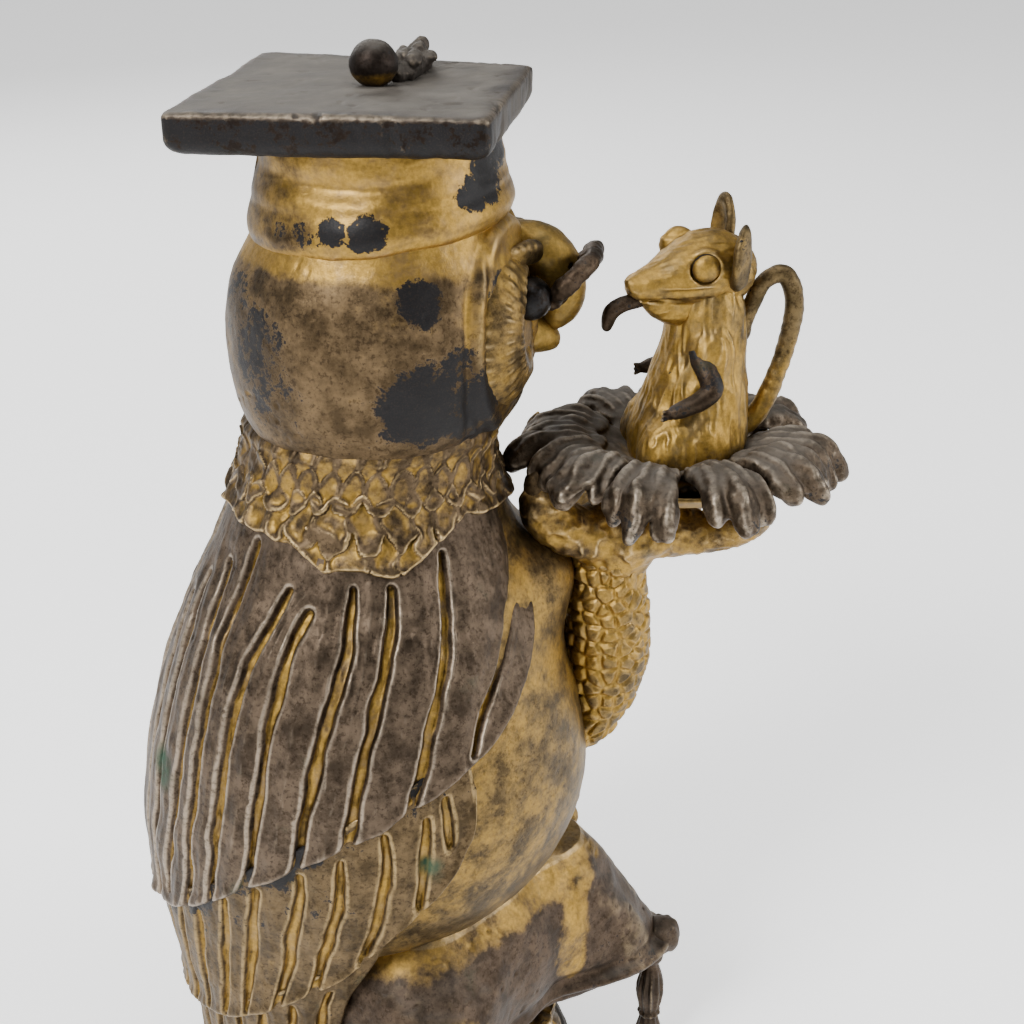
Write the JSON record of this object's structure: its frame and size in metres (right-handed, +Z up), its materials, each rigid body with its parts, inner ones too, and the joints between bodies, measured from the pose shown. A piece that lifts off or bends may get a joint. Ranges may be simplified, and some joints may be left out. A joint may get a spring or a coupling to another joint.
{
  "type": "bookend",
  "caption": "Heavy figural bookend: cast gilt-bronze owl in a mortarboard, seated on a tasselled cushion and stump, holding up a mouse in a leafy saucer, over a round felt-lined base.",
  "frame": {"origin": "centre of the underside of the felt pad", "axes": "+Z up, +X the way the owl faces, +Y the owl's left"},
  "size_m": [0.1411, 0.1184, 0.2418],
  "materials": {
    "gilt_bronze": "worn gilt patina over cast bronze, satin, dark in the hollows",
    "worn_bronze": "rubbed brown patina with gilt left in the grooves",
    "dark_bronze": "dark brown patina, dusty on top, rubbed bright on edges",
    "black_bronze": "black patina, glossy",
    "steel": "zinc-plated fastener",
    "felt": "dark green wool felt"
  },
  "bodies": {
    "root": {"base_plinth": "dark_bronze", "cap_button": "gilt_bronze", "cap_crown": "gilt_bronze", "cap_tassel": "gilt_bronze", "cap_tassel_cord": "gilt_bronze", "corner_knobs": "gilt_bronze", "cushion": "dark_bronze", "felt_pad": "felt", "front_tassel": "gilt_bronze", "head": "gilt_bronze", "leaf_ruff": "dark_bronze", "left_brow_tuft": "gilt_bronze", "left_eye": "black_bronze", "left_face_disc": "gilt_bronze", "left_tassel": "gilt_bronze", "left_wing": "worn_bronze", "lower_beak": "gilt_bronze", "mantle": "gilt_bronze", "mortarboard": "dark_bronze", "mounting_stud": "steel", "mouse_body": "gilt_bronze", "mouse_eyes": "black_bronze", "mouse_head": "gilt_bronze", "mouse_left_arm": "gilt_bronze", "mouse_left_ear": "gilt_bronze", "mouse_right_arm": "gilt_bronze", "mouse_right_ear": "gilt_bronze", "mouse_tail": "gilt_bronze", "mouse_tongue": "gilt_bronze", "neck_ruff": "gilt_bronze", "owl_body": "gilt_bronze", "raised_foot": "gilt_bronze", "raised_leg": "gilt_bronze", "raised_talons": "gilt_bronze", "right_brow_tuft": "gilt_bronze", "right_eye": "black_bronze", "right_face_disc": "gilt_bronze", "right_tassel": "gilt_bronze", "right_wing": "worn_bronze", "saucer": "gilt_bronze", "saucer_screw": "steel", "spectacle_frame": "gilt_bronze", "spectacle_lenses": "black_bronze", "standing_foot": "gilt_bronze", "standing_talons": "gilt_bronze", "stud_nut": "steel", "stud_washer": "steel", "stump": "gilt_bronze", "tail_feathers": "gilt_bronze", "upper_beak": "gilt_bronze"}
  },
  "joints": []
}
